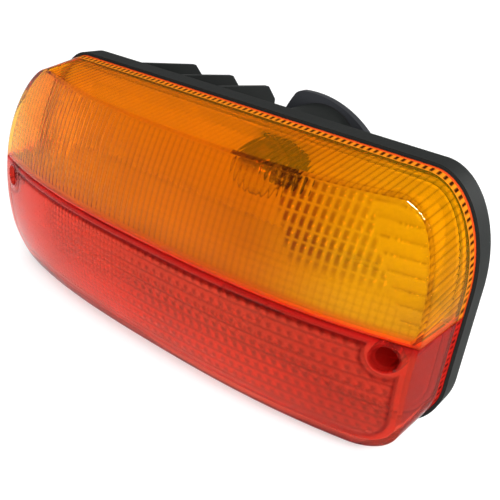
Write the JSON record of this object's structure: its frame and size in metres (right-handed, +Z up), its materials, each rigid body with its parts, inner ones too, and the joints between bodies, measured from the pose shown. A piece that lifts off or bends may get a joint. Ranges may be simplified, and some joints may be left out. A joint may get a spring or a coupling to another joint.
{
  "type": "tail light cluster",
  "caption": "Rear lamp cluster with a bowed lens, amber above red, on a black moulded housing with twist-in bulb carriers, connector sockets and rear mounting bolts",
  "frame": {"origin": "on the flat rear mounting face, midway between the two mounting bolts", "axes": "+X along the lamp to the right seen from the front, +Y backwards towards the vehicle (the lens faces -Y), +Z up"},
  "size_m": [0.2534, 0.1316, 0.1218],
  "materials": {
    "amber_acrylic": "moulded amber acrylic, glossy outside, fluted inside",
    "red_acrylic": "moulded red acrylic, glossy outside, prismatic inside",
    "gasket_rubber": "soft black rubber",
    "black_housing_plastic": "satin black moulded plastic",
    "black_carrier_plastic": "black glass-filled moulded plastic",
    "metallised_plastic": "bright vacuum-metallised plastic",
    "zinc_steel": "zinc-plated steel",
    "brass": "plain brass",
    "laminate": "brown insulating laminate",
    "bulb_base_glass": "black vitreous insulator",
    "bulb_glass": "clear blown glass"
  },
  "bodies": {
    "root": {"amber_lens": "amber_acrylic", "red_lens": "red_acrylic", "lens_gasket": "gasket_rubber", "housing": "black_housing_plastic", "indicator_reflector": "metallised_plastic", "stop_tail_reflector": "metallised_plastic", "light_shield": "metallised_plastic", "mounting_bolts": "zinc_steel", "screw_inserts": "brass", "screw_seals": "gasket_rubber", "lens_screws": "zinc_steel", "indicator_carrier": "black_carrier_plastic", "indicator_seal": "gasket_rubber", "indicator_sleeve": "zinc_steel", "indicator_disc": "laminate", "indicator_contact": "brass", "indicator_terminals": "brass", "indicator_bulb_base": "bulb_base_glass", "indicator_bulb_cap": "brass", "indicator_bulb_glass": "bulb_glass", "stop_tail_carrier": "black_carrier_plastic", "stop_tail_seal": "gasket_rubber", "stop_tail_sleeve": "zinc_steel", "stop_tail_disc": "laminate", "stop_tail_contacts": "brass", "stop_tail_terminals": "brass", "stop_tail_bulb_base": "bulb_base_glass", "stop_tail_bulb_cap": "brass", "stop_tail_bulb_glass": "bulb_glass"}
  },
  "joints": []
}
